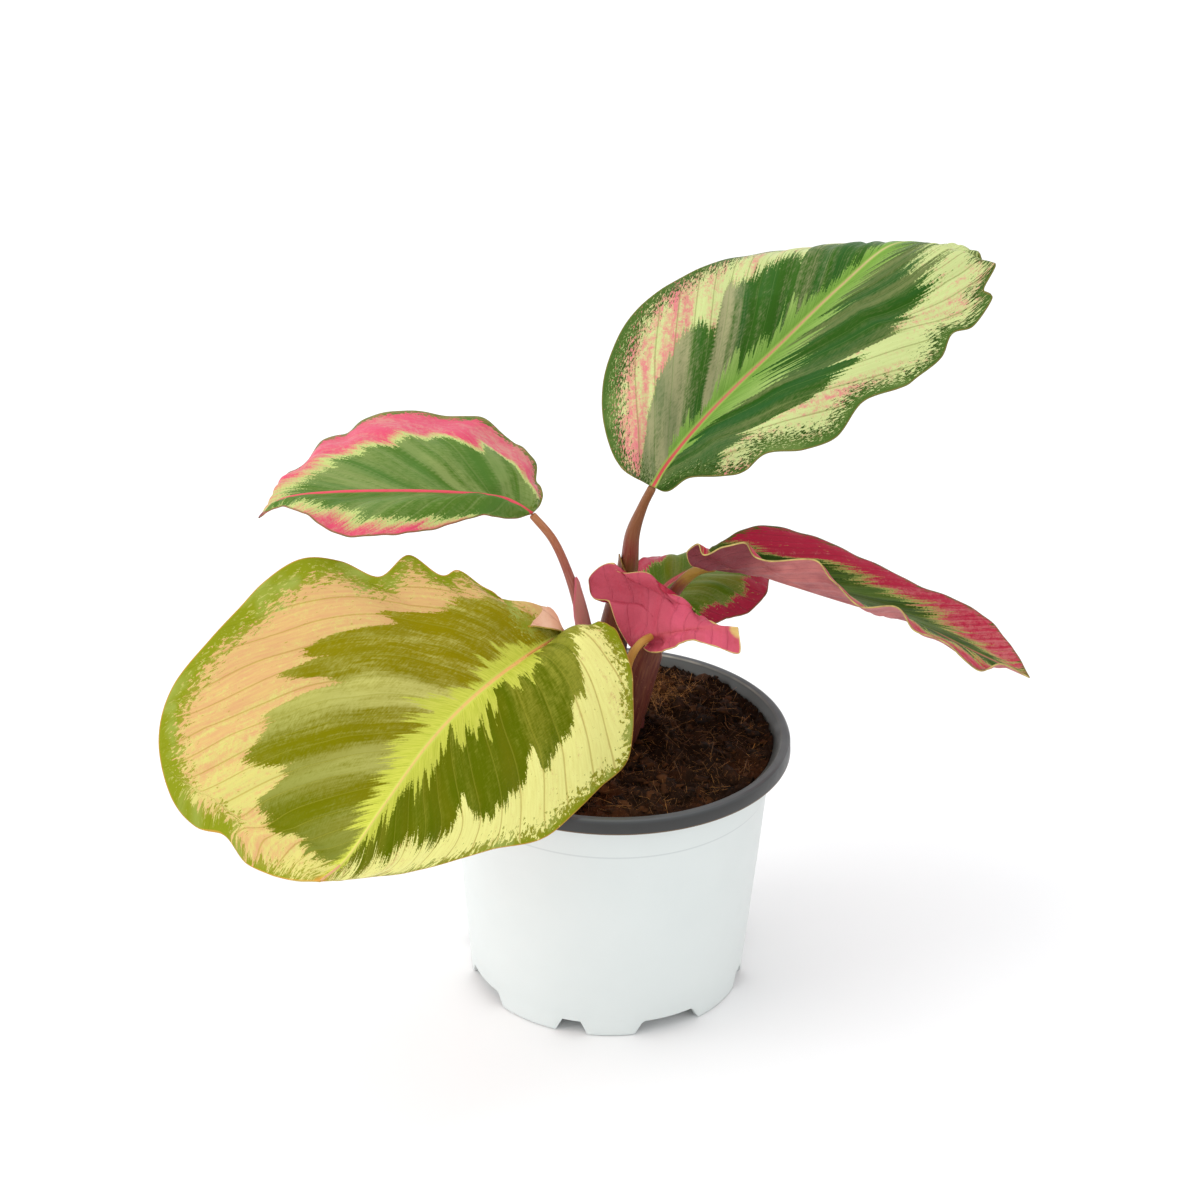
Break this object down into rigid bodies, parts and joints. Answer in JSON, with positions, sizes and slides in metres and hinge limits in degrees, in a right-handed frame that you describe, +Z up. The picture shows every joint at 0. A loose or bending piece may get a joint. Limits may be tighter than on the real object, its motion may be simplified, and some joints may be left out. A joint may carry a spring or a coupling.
{
  "type": "potted calathea",
  "caption": "leafy house plant with broad patterned blades on slender sheathed stalks, growing in soil in a round white nursery pot with a dark rolled lip and notched feet",
  "frame": {"origin": "on the ground, on the pot's axis, at the underside of the pot's centre foot", "axes": "+Z up along the pot's axis; -Y towards the side the plant faces; +X to the right seen from there"},
  "size_m": [0.276, 0.2333, 0.2461],
  "materials": {
    "pot_plastic": "thin formed plastic, satin white outside, dark grey to black inside and on the rolled lip",
    "potting_soil": null,
    "rhizome": "fleshy root stock, buried in the soil",
    "stalk_upper_right": "mauve-brown, satin",
    "leaf_upper_right": "dark green heart with pale green and pink band, satin, purple-red underneath",
    "stalk_lower_left": "ochre, satin",
    "leaf_lower_left": "olive and yellow-green, thin and light-passing, pale peach band, satin",
    "stalk_upper_left": "pink-brown, satin",
    "leaf_upper_left": "green heart, narrow light fringe, hot pink band and pink midrib, satin",
    "stalk_centre_curled": "ochre-yellow, satin",
    "leaf_centre_curled": "crimson-pink underside outwards, pale yellow edge, satin",
    "stalk_right_folded": "ochre above, purple sheath below, satin",
    "leaf_right_folded": "crimson band and dark green heart, dusky pink underside, satin",
    "stalk_back": "mauve-brown, satin",
    "leaf_back": "green heart with crimson margin, satin"
  },
  "bodies": {
    "root": {"nursery_pot": "pot_plastic", "potting_soil": "potting_soil", "rhizome": "rhizome", "stalk_upper_right": "stalk_upper_right", "leaf_upper_right": "leaf_upper_right", "stalk_lower_left": "stalk_lower_left", "leaf_lower_left": "leaf_lower_left", "stalk_upper_left": "stalk_upper_left", "leaf_upper_left": "leaf_upper_left", "stalk_centre_curled": "stalk_centre_curled", "leaf_centre_curled": "leaf_centre_curled", "stalk_right_folded": "stalk_right_folded", "leaf_right_folded": "leaf_right_folded", "stalk_back": "stalk_back", "leaf_back": "leaf_back"}
  },
  "joints": []
}
